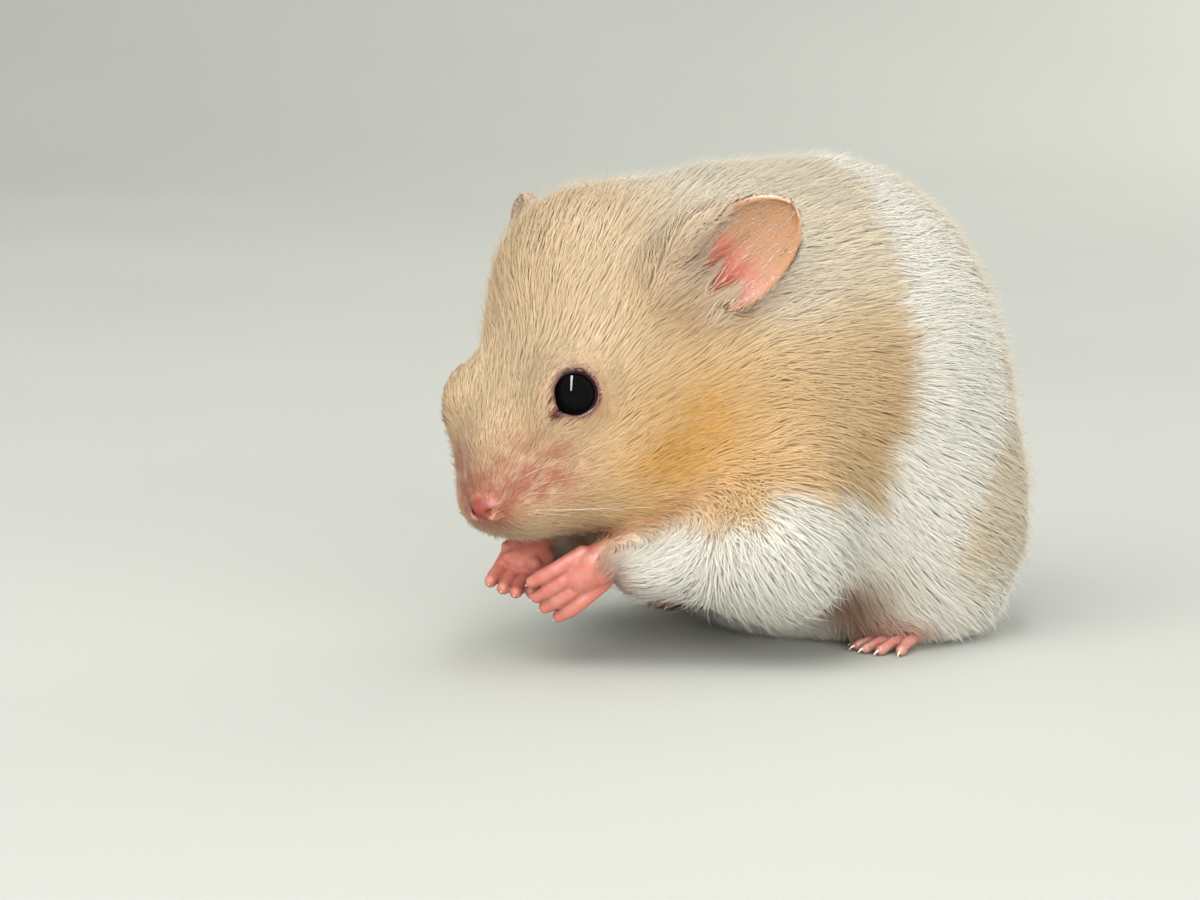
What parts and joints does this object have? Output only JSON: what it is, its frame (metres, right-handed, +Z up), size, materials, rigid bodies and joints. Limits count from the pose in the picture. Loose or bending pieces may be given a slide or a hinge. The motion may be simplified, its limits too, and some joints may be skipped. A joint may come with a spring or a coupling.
{
  "type": "syrian hamster model",
  "caption": "Still, life-size Syrian hamster sitting hunched on its haunches, head lowered, both forepaws held up to its mouth.",
  "frame": {"origin": "middle of the bounding box on the floor that the animal sits on", "axes": "+Z up, the animal faces -Y, +X is its left side, +Y runs to its tail"},
  "size_m": [0.0518, 0.079, 0.0564],
  "materials": {
    "coat_cream": "soft fur, cream to orange",
    "coat_tan": "soft fur, pale tan",
    "coat_white": "soft fur, warm white",
    "skin_pink": "bare pink skin, slightly moist",
    "eye_black": "wet gloss"
  },
  "bodies": {
    "root": {"head": "coat_cream", "nose": "skin_pink", "neck": "coat_tan", "trunk": "coat_tan", "tail": "skin_pink", "eye_left": "eye_black", "eye_right": "eye_black", "ear_left": "skin_pink", "ear_right": "skin_pink", "foreleg_left": "coat_white", "foreleg_right": "coat_white", "forepaw_left": "skin_pink", "forepaw_right": "skin_pink", "thigh_left": "coat_white", "thigh_right": "coat_white", "hindfoot_left": "skin_pink", "hindfoot_right": "skin_pink"}
  },
  "joints": []
}
